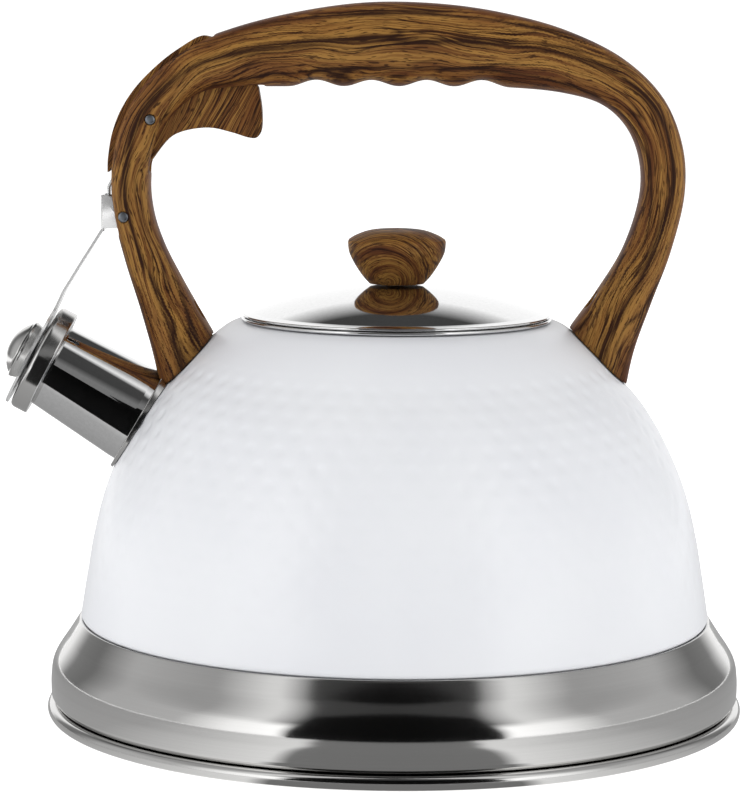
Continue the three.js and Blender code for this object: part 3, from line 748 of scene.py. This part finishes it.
def handle_blank(margin=0.0):
    """The moulding before it is cut, or everything within a margin of it."""
    outer, inner, halves = handle_rails()
    across = outer - inner
    across *= margin / np.linalg.norm(across, axis=1)[:, None]
    rings = [handle_section(o, i, h) for o, i, h in zip(outer + across, inner - across, halves + margin)]
    return lofted("handle_moulding", rings)


def handle():
    obj = handle_blank()
    bars = [
        cross_bar("bar", pivot, [(0, -14), (PIN_RADIUS + 0.1, -14), (PIN_RADIUS + 0.1, 14), (0, 14)])
        for pivot in (TRIGGER_PIVOT, ARM_PIVOT)
    ]
    feet = [tongue_pocket(foot) for foot in FOOT_FRAMES]
    screws = [foot_screw("screw_room", foot, GAP, 9) for foot in FOOT_FRAMES]
    slot = plate("slot", SLOT_OUTLINE, SLOT_HALF)
    combine(obj, [over_shell(GAP), slot, spout_room(-10, 20), *bars, *feet, *screws])
    remesh = obj.modifiers.new("remesh", "REMESH")
    remesh.mode = "VOXEL"
    remesh.voxel_size = HANDLE_VOXEL * MM
    ease = obj.modifiers.new("ease", "SMOOTH")
    ease.factor = 0.5
    ease.iterations = 8
    settle(obj)
    grain_along_handle(obj)
    obj.data.shade_smooth()
    return obj


def grain_along_handle(obj):
    """Grain coordinates that follow the handle's middle line, and how close each point is to an edge."""
    outer, inner = handle_rails(scalloped=False)[:2]
    middle = (outer + inner) / 2
    reach = (outer - inner) / 2
    half = np.linalg.norm(reach, axis=1)
    along = np.concatenate([[0], np.cumsum(np.linalg.norm(np.diff(middle, axis=0), axis=1))])
    points = points_mm(obj)
    flat = points[:, [0, 2]]
    nearest = np.concatenate([
        np.argmin(((part[:, None] - middle[None]) ** 2).sum(2), 1) for part in np.array_split(flat, 60)
    ])
    offset = flat - middle[nearest]
    unit = reach[nearest] / half[nearest][:, None]
    across = (offset * unit).sum(1)
    tangent = np.stack([unit[:, 1], -unit[:, 0]], 1)
    length = along[nearest] + (offset * tangent).sum(1)
    set_grain(obj, np.stack([length, across, points[:, 1]], 1), np.abs(across) / half[nearest])


# ---------------------------------------------------------------- trigger
TRIGGER_HALF = 4.5
SPINE = [
    (-57.5, 210.4), (-60.8, 210.7), (-65.7, 208), (-72.5, 203.1), (-80, 195.8), (-85, 188.4), (-87.9, 181),
    (-89.2, 173.6), (-89.4, 168.9),
]
HEEL = [(-88.9, 168.9), (-86.7, 173.1), (-83.1, 174.5), (-79.1, 171.7)]
HOOK = [
    (-75.9, 172.4), (-70.9, 178.8), (-65.9, 181.6), (-58.1, 182.7), (-51.1, 181.3), (-46.2, 179.8),
    (-43.3, 179.8), (-41.9, 182.5), (-41.9, 188.5), (-42.9, 194.9),
]
HOOK_TOP = [(-44.6, 197.5), (-51.1, 201), (-57.1, 204.5)]
TRIGGER_GRAIN = math.radians(62)


def trigger():
    outline = [*catmull(SPINE, 5), *HEEL, *catmull(HOOK, 5), *HOOK_TOP]
    obj = plate("trigger_lever", outline, TRIGGER_HALF, 0.9, 4)
    bar = cross_bar("bar", TRIGGER_PIVOT, [(0, -8), (PIN_RADIUS + GAP, -8), (PIN_RADIUS + GAP, 8), (0, 8)])
    room = cross_bar("room", TRIGGER_PIVOT, [(0, -2.7), (3.8, -2.7), (3.8, 2.7), (0, 2.7)])
    combine(obj, [bar, room])
    points = points_mm(obj)
    c, s = math.cos(TRIGGER_GRAIN), math.sin(TRIGGER_GRAIN)
    along = points[:, 0] * c + points[:, 2] * s
    across = points[:, 2] * c - points[:, 0] * s
    set_grain(obj, np.stack([along, across, points[:, 1]], 1))
    return shade(obj, 40)


def torsion_spring(name, pivot):
    radius, wire, half = 2.9, 0.4, 2.2
    turns = np.linspace(0, 3.75, 150)
    angle = 2 * math.pi * turns
    y = np.linspace(-half, half, len(turns))
    path = np.stack([pivot[0] + radius * np.cos(angle), y, pivot[1] + radius * np.sin(angle)], 1)
    return shade(swept(name, path, wire), 60)


def pin(name, pivot, half_length):
    """A pin with slightly domed ends."""
    r = PIN_RADIUS
    dome = [
        (r, half_length - 0.35), (r * 0.82, half_length - 0.08), (r * 0.4, half_length), (0, half_length),
    ]
    profile = [(q[0], -q[1]) for q in reversed(dome)] + dome
    return shade(cross_bar(name, pivot, profile, 48), 50)


# ---------------------------------------------------------------- whistle arm
ARM_SHEET = 0.8
DISC_RADIUS = 17.0
EAR_OUTSIDE = 4.4
DISC_LIFT = 0.8
STRAP_HALF = 6.0
STRAP_LINE = [(-103.1, 132), (-97.2, 141.5), (-91.1, 151.1)]
WHISTLE_BORE = 3.0


def strap_sheet():
    """The disc and the strap that runs up from it, as one sheet with a slight bend."""
    centre = MOUTH @ Vector((0, 0, (DISC_LIFT + ARM_SHEET / 2) * MM)) / MM
    up = MOUTH.to_3x3() @ Vector((1, 0, 0))
    centre = np.array((centre.x, centre.z))
    rise = np.array((up.x, up.z))
    over_disc = np.linspace(-DISC_RADIUS, DISC_RADIUS, 61)
    disc = [centre + rise * r for r in over_disc]
    strap = spaced([centre + rise * (DISC_RADIUS + 0.5), *STRAP_LINE], 1.5)
    line = np.array([*disc, *strap])
    from_centre = np.concatenate([over_disc, np.full(len(strap), DISC_RADIUS)])
    width = np.sqrt(np.clip(DISC_RADIUS**2 - from_centre**2, 0, None))
    taper = np.interp(line[:, 1], [126, 151], [STRAP_HALF, EAR_OUTSIDE + 0.2])
    width = np.where(np.arange(len(line)) > 30, np.maximum(width, taper), width)
    left, right = sideways(line, ARM_SHEET / 2), sideways(line, -ARM_SHEET / 2)
    steps = np.linspace(-1, 1, 17)
    rings = []
    for a, b, w in zip(left, right, width):
        w = max(w, 0.4)
        front = [(a[0], w * t, a[1]) for t in steps]
        back = [(b[0], w * t, b[1]) for t in steps[::-1]]
        rings.append(np.array(front + back))
    return lofted("arm_sheet", rings)


def whistle_arm():
    sheet = strap_sheet()
    web_outline = [(-91.5, 150.5, 0.3), (-90.5, 150.5, 0.3), (-90.5, 161.8, 0.3), (-91.5, 161.8, 0.3)]
    web = plate("web", rounded(web_outline), EAR_OUTSIDE - 0.05, 0.25, 2)
    ears = []
    outline = [(-91.1, 151.5), *arc(*ARM_PIVOT, 3.7, -90, 70, 24), (-89.5, 161.8), (-91.1, 161.8)]
    for side in (-1, 1):
        ear = plate("ear", outline, 0.44, 0.15, 2)
        ears.append(moved(ear, Matrix.Translation((0, side * (EAR_OUTSIDE - 0.46) * MM, 0))))
    foot_outline = [(-91.1, 158.1), (-88.82, 158.1), (-88.82, 159.9), (-91.1, 159.9)]
    foot = plate("tab_foot", foot_outline, 2.78, 0.1, 1)
    tab = plate("tab", rounded([
        (-89.7, 158.12, 0.2), (-88.8, 158.12, 0.2), (-88.8, 164.1, 1.5), (-86.4, 168.7, 1),
        (-86.4, 170.1, 0.3), (-87.2, 170.1, 0.3), (-87.3, 168.9, 1), (-89.7, 164.3, 1.5),
    ]), 2.8, 0.15, 2)
    combine(sheet, [web, *ears, foot, tab], "UNION")
    bore = turned("bore", [(0, -2), (WHISTLE_BORE, -2), (WHISTLE_BORE, 4), (0, 4)], 48, closed=False)
    moved(bore, MOUTH)
    bar = cross_bar("bar", ARM_PIVOT, [(0, -8), (PIN_RADIUS + GAP, -8), (PIN_RADIUS + GAP, 8), (0, 8)])
    combine(sheet, [bore, bar])
    sheet.name = "whistle_lever"
    return shade(sheet, 30)


HEAD_LOW = DISC_LIFT + ARM_SHEET + GAP
HEAD_RADIUS = 9.4
HEAD_HEIGHT = 2.8
CAP_RADIUS = 8.6
CAP_RISE = 3.9
CUP_DEPTH = 5.4


def whistle_head():
    top = HEAD_LOW + HEAD_HEIGHT
    profile = rounded([
        (7.6, HEAD_LOW, 0.2), (HEAD_RADIUS - 0.6, HEAD_LOW, 0.3), (HEAD_RADIUS, top - 0.8, 0.3),
        (HEAD_RADIUS, top, 0.3), (WHISTLE_BORE, top, 0.3), (WHISTLE_BORE, top - 1, 0.2),
        (7.6, HEAD_LOW + 1.5, 0.4),
    ])
    return shade(moved(turned("whistle_drum", profile, 96), MOUTH), 40)


def whistle_cap():
    low = HEAD_LOW + HEAD_HEIGHT + GAP
    sphere = (CAP_RADIUS**2 + CAP_RISE**2) / (2 * CAP_RISE)
    ends = math.degrees(math.asin(CAP_RADIUS / sphere))
    centre = low + CAP_RISE - sphere
    outside = arc(0, centre, sphere, 90 - ends, 81, 24)
    inside = arc(0, centre - 0.9, sphere, 81, 98 - ends, 18)
    profile = [*outside[1:], *inside, (CAP_RADIUS - 1.2, low), (CAP_RADIUS - 0.2, low)]
    return shade(moved(turned("whistle_dome", profile, 96), MOUTH), 40)


def whistle_cup():
    top = DISC_LIFT - GAP
    bottom = -CUP_DEPTH
    profile = rounded([
        (10.2, bottom + 0.9, 0.3), (1.4, bottom + 0.9, 0.2), (1.4, bottom, 0.2), (11, bottom, 0.6),
        (11, top, 0.2), (10.2, top, 0.2),
    ])
    return shade(moved(turned("whistle_cup_inner", profile, 96), MOUTH), 40)


def whistle_plate():
    profile = rounded([(1.4, -2.6, 0.2), (9.8, -2.6, 0.2), (9.8, -1.8, 0.2), (1.4, -1.8, 0.2)])
    return shade(moved(turned("whistle_reed_plate", profile, 96), MOUTH), 40)


# ---------------------------------------------------------------- lid
dome_low, dome_high = frame_box("lid_dome")
LID_RADIUS = dome_high[0]
LID_RIM_Z = dome_low[2]
LID_SPHERE = 125.0
LID_CENTRE_Z = LID_RIM_Z - math.sqrt(LID_SPHERE**2 - LID_RADIUS**2)
knob_low, knob_high = frame_box("lid_knob")
KNOB_LOW = knob_low[2]
KNOB_RADIUS = knob_high[0]
KNOB_WHORL = (-3.5, 1.0)  # centre of the printed rings: x, and height over the knob's foot
SCREW_RADIUS = 2.0


def lid_arc(sphere, start, end, steps):
    return [(r, LID_CENTRE_Z + math.sqrt(sphere**2 - r**2)) for r in np.linspace(start, end, steps)]


def lid_dome():
    hole = SCREW_RADIUS + GAP
    rim = rounded([
        (LID_RADIUS - 3, LID_CENTRE_Z + math.sqrt(LID_SPHERE**2 - (LID_RADIUS - 3) ** 2)),
        (LID_RADIUS, LID_RIM_Z + 0.75, 0.5), (LID_RADIUS - 0.1, LID_RIM_Z, 0.4),
        (LID_RADIUS - 2.1, LID_RIM_Z, 0.2),
    ], 5, closed=False)
    profile = [*lid_arc(LID_SPHERE, hole, LID_RADIUS - 3.4, 36), *rim,
               *lid_arc(LID_SPHERE - 0.8, LID_RADIUS - 2.4, hole, 20)]
    return shade(turned("lid_mirror", profile, 256), 40)


def lid_skirt():
    low, high = frame_box("lid_skirt")
    radius = high[0]
    profile = rounded([
        (radius - 0.8, low[2], 0.3), (radius, low[2], 0.3), (radius, high[2], 0.2),
        (radius - 0.8, high[2], 0.2),
    ])
    return shade(turned("lid_collar", profile, 192), 40)


def lid_knob():
    z = KNOB_LOW
    widest = (KNOB_RADIUS - 0.02, z + 12.9)
    flare = catmull([(8.6, z + 0.1), (10.6, z + 2.3), (13, z + 5.9), (14.8, z + 9.6), widest], 8)
    crown = catmull([(KNOB_RADIUS - 0.3, z + 13.6), (12.6, z + 15.0), (8, z + 16.5), (0, z + 17.1)], 8)
    hole = SCREW_RADIUS + GAP
    profile = [(0, z + 10), (hole, z + 10), (hole, z), (8.5, z), *flare, *crown]
    obj = shade(turned("knob_wood", profile, 128, closed=False), 28)
    points = points_mm(obj)
    aside = points[:, 0] - KNOB_WHORL[0]
    above = points[:, 2] - z - KNOB_WHORL[1]
    ring = np.hypot(aside, 1.15 * above)
    angle = np.arctan2(above, aside)
    set_grain(obj, np.stack([angle * 9, ring * 1.4 + 0.25 * points[:, 1], points[:, 1] * 0.6], 1))
    return obj


def lid_washer():
    low, high = frame_box("lid_washer")
    profile = rounded([
        (SCREW_RADIUS + GAP, low[2], 0.2), (high[0], low[2], 0.3), (high[0], high[2], 0.3),
        (SCREW_RADIUS + GAP, high[2], 0.2),
    ])
    return shade(turned("knob_washer", profile, 64), 40)


def knob_screw():
    low, high = frame_box("knob_screw")
    head = [(1, low[2]), (3.8, low[2], 1.2), (4.2, low[2] + 2.3, 0.3), (2.5, low[2] + 2.3)]
    profile = [
        (0, low[2]), *rounded(head, 5, closed=False), (SCREW_RADIUS, low[2] + 2.3),
        (SCREW_RADIUS, high[2] - 1), (SCREW_RADIUS - 0.7, high[2]), (0, high[2]),
    ]
    obj = turned("knob_screw_steel", profile, 64, closed=False)
    slots = [box("slot", (-0.5, -2.6, low[2] - 1), (0.5, 2.6, low[2] + 1.1)),
             box("slot", (-2.6, -0.5, low[2] - 1), (2.6, 0.5, low[2] + 1.1))]
    return shade(combine(obj, slots), 40)


def foot_screw_piece(name, foot):
    obj = foot_screw(name, foot)
    slots = [box("slot", (-0.4, -1.8, 6.9), (0.4, 1.8, 9)), box("slot", (-1.8, -0.4, 6.9), (1.8, 0.4, 9))]
    for slot in slots:
        moved(slot, foot_screw_matrix(foot))
    return shade(combine(obj, slots), 40)


# ---------------------------------------------------------------- the object
show(body_shell(), ENAMEL, "vessel", "enamel", "body_shell")
show(base_pan(), BASE_STEEL, "vessel", "satin_steel", "base_pan")
show(base_capsule(), BASE_STEEL, "vessel", "satin_steel", "base_capsule")
show(seat_ring(), MIRROR, "vessel", "polished_steel", "seat_ring")
show(spout_tube(), MIRROR, "vessel", "polished_steel", "spout_tube")
show(spout_collar(), SATIN, "vessel", "satin_steel", "spout_collar")
show(spout_flange(), SATIN, "vessel", "satin_steel", "spout_flange")
show(handle(), WOOD, "vessel", "wood_look", "handle")
for side, foot in zip(("front", "rear"), FOOT_FRAMES):
    show(foot_screw_piece(side + "_foot_screw", foot), PINS, "vessel", "pin_steel", side + "_screw")
    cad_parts[side + "_bracket"].material_slots[0].material = SATIN
show(pin("trigger_pivot_pin", TRIGGER_PIVOT, 10.2), PINS, "vessel", "pin_steel", "trigger_pin")
show(pin("arm_pivot_pin", ARM_PIVOT, 9.5), PINS, "vessel", "pin_steel", "arm_pin")
show(torsion_spring("trigger_coil", TRIGGER_PIVOT), PINS, "vessel", "pin_steel", "trigger_spring")
show(torsion_spring("arm_coil", ARM_PIVOT), PINS, "vessel", "pin_steel", "arm_spring")
show(trigger(), WOOD_TRIGGER, "trigger", "wood_look", "trigger")
show(whistle_arm(), ARM_STEEL, "whistle_arm", "polished_steel", "arm_strap")
show(whistle_head(), SATIN, "whistle_arm", "polished_steel", "whistle_head")
show(whistle_cap(), SATIN, "whistle_arm", "satin_steel", "whistle_cap")
show(whistle_cup(), MIRROR, "whistle_arm", "polished_steel", "whistle_cup")
show(whistle_plate(), MIRROR, "whistle_arm", "polished_steel", "whistle_plate")
show(lid_dome(), MIRROR, "lid", "polished_steel", "lid_dome")
show(lid_skirt(), SATIN, "lid", "satin_steel", "lid_skirt")
show(lid_knob(), WOOD_KNOB, "lid", "wood_look", "lid_knob")
show(lid_washer(), SATIN, "lid", "satin_steel", "lid_washer")
show(knob_screw(), PINS, "lid", "pin_steel", "knob_screw")
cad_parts["heat_core"].material_slots[0].material = ALUMINIUM


# ---------------------------------------------------------------- camera, floor and light
CAMERA_AT = (-0.00682, -0.9951, 0.2281)
CAMERA_TILT = 7.45
CAMERA_ROLL = 0.35
CAMERA_LENS = 144.6
FLOOR_HALF = 3
FLOOR_GLOW = 0.95
FLAG_BLACK = (0.002, 0.002, 0.002)
LIGHT_TARGET = (0, 0, 0.1)
LIGHTS = [  # name, place, size and power
    ("top_light", (0.0, -0.3, 1.6), (1.6, 1.2), 8),
    ("left_light", (-1.3, -1.0, 0.8), (0.9, 1.2), 8),
    ("right_light", (1.3, -1.0, 0.7), (0.9, 1.2), 7),
    ("left_rear_light", (-1.4, 0.8, 0.6), (0.8, 1.0), 7),
    ("right_rear_light", (1.4, 0.8, 0.6), (0.8, 1.0), 7),
]


def camera():
    data = bpy.data.cameras.new("camera")
    data.lens = CAMERA_LENS
    data.sensor_width = 36
    data.clip_start, data.clip_end = 0.01, 50
    obj = bpy.data.objects.new("camera", data)
    obj.matrix_world = (
        Matrix.Translation(CAMERA_AT) @ Matrix.Rotation(math.radians(90 - CAMERA_TILT), 4, "X")
        @ Matrix.Rotation(math.radians(CAMERA_ROLL), 4, "Z")
    )
    bpy.context.scene.collection.objects.link(obj)
    bpy.context.scene.camera = obj


def stage_sheet(name, corners, color, roughness=0.8, seen=True):
    """A flat sheet of the stage. One that isn't seen shows only in reflections, as a studio's flags do."""
    mesh = bpy.data.meshes.new(name)
    mesh.from_pydata(corners, [], [tuple(range(len(corners)))])
    obj = bpy.data.objects.new(name, mesh)
    bpy.context.scene.collection.objects.link(obj)
    material, _, bsdf = new_material(name)
    bsdf.inputs["Base Color"].default_value = (*color, 1)
    bsdf.inputs["Roughness"].default_value = roughness
    bsdf.inputs["Specular IOR Level"].default_value = 0.1
    mesh.materials.append(material)
    if not seen:
        obj.visible_camera = False
        obj.visible_diffuse = False
        obj.visible_shadow = False
    return obj


def area_light(name, at, size, power):
    """A soft light that shiny surfaces don't mirror."""
    data = bpy.data.lights.new(name, "AREA")
    data.shape = "RECTANGLE"
    data.size, data.size_y = size
    data.energy = power
    obj = bpy.data.objects.new(name, data)
    obj.location = at
    obj.rotation_euler = (Vector(LIGHT_TARGET) - Vector(at)).to_track_quat("-Z", "Y").to_euler()
    obj.visible_glossy = False
    bpy.context.scene.collection.objects.link(obj)


def grey(level):
    return (level, level, level)


# Brightness of the walls by bearing, from the camera's side (0) round either way to the far side (1).
AROUND = [
    (0.0, grey(0.22)), (0.19, grey(0.22)), (0.215, grey(1.6)), (0.31, grey(1.3)), (0.42, grey(0.6)),
    (0.62, grey(0.55)), (0.72, grey(0.2)), (0.79, grey(0.25)), (0.85, grey(1.1)), (1.0, grey(1.15)),
]
# The same for what shiny surfaces see of the ground round the object.
AROUND_LOW = [
    (0.0, grey(0.22)), (0.11, grey(0.22)), (0.13, grey(1.0)), (0.24, grey(0.7)), (0.36, grey(0.45)),
    (0.70, grey(0.34)), (0.85, grey(0.45)), (1.0, grey(0.8)),
]


def bearing(tree, x, y):
    """How far round from the camera's side a direction points, from 0 to 1."""
    turn = calc(tree, "ARCTAN2", x, calc(tree, "MULTIPLY", y, -1.0))
    return calc(tree, "DIVIDE", calc(tree, "ABSOLUTE", turn), math.pi)


def surroundings():
    """A grey studio: a bright panel to either side of the camera, a bright far wall, a dark ceiling."""
    world = bpy.data.worlds.new("studio")
    world.use_nodes = True
    tree = world.node_tree
    direction = node(tree, "ShaderNodeTexCoord").outputs["Generated"]
    x, y, z = node(tree, "ShaderNodeSeparateXYZ", {0: direction}).outputs
    around = bearing(tree, x, y)
    height = calc(tree, "ADD", calc(tree, "MULTIPLY", z, 0.5), 0.5)
    overhead = ramp(tree, height, [(0.73, grey(0)), (0.82, grey(1))])
    spread = ramp(tree, around, [
        (0.0, grey(1)), (0.20, grey(0.95)), (0.28, grey(0.3)), (0.70, grey(0.3)), (0.80, grey(1)),
    ])
    shade_above = calc(tree, "MULTIPLY", overhead, spread)
    color = mixed(tree, shade_above, ramp(tree, around, AROUND), (0.06, 0.06, 0.06, 1))
    background = tree.nodes["Background"]
    link(tree, color, background.inputs["Color"])
    background.inputs["Strength"].default_value = 1.0
    bpy.context.scene.world = world


def glow(obj, color, strength):
    """Makes a stage sheet shine by itself."""
    tree = obj.data.materials[0].node_tree
    bsdf = tree.nodes["Principled BSDF"]
    if isinstance(color, bpy.types.NodeSocket):
        link(tree, color, bsdf.inputs["Emission Color"])
    else:
        bsdf.inputs["Emission Color"].default_value = (*color, 1)
    bsdf.inputs["Emission Strength"].default_value = strength


def reflected_ground():
    """A painted sheet just over the floor that only shiny surfaces see."""
    corners = [(x, y, 0.0006) for x, y in arc(0, 0, 0.9, 0, 345, 23)]
    obj = stage_sheet("reflected_ground", corners, grey(0), seen=False)
    tree = obj.data.materials[0].node_tree
    place = node(tree, "ShaderNodeTexCoord").outputs["Object"]
    x, y, _ = node(tree, "ShaderNodeSeparateXYZ", {0: place}).outputs
    glow(obj, ramp(tree, bearing(tree, x, y), AROUND_LOW), 1.0)


def spout_flag():
    """A black card before the spout, seen only by shiny surfaces."""
    card = ((-2, -28), (-2, 7), (44, 7), (44, -28))
    corners = [tuple(SPOUT @ Vector((up * MM, -35 * MM, along * MM))) for along, up in card]
    stage_sheet("spout_flag", corners, FLAG_BLACK, seen=False)


def stage_floor():
    """A pale floor that shines a little, so that it stays even."""
    half = FLOOR_HALF
    corners = [(-half, -half, 0), (half, -half, 0), (half, half, 0), (-half, half, 0)]
    sheet = stage_sheet("floor", corners, grey(0.5))
    glow(sheet, grey(1.0), FLOOR_GLOW)


def low_flag():
    """A black card before the base, seen only by shiny surfaces."""
    corners = [(-0.10, -0.2, 0.011), (0.10, -0.2, 0.011), (0.09, -0.2, 0.165), (-0.09, -0.2, 0.165)]
    stage_sheet("low_flag", corners, FLAG_BLACK, seen=False)


camera()
surroundings()
stage_floor()
reflected_ground()
spout_flag()
low_flag()
for light in LIGHTS:
    area_light(*light)
bpy.context.scene.view_settings.view_transform = "Standard"
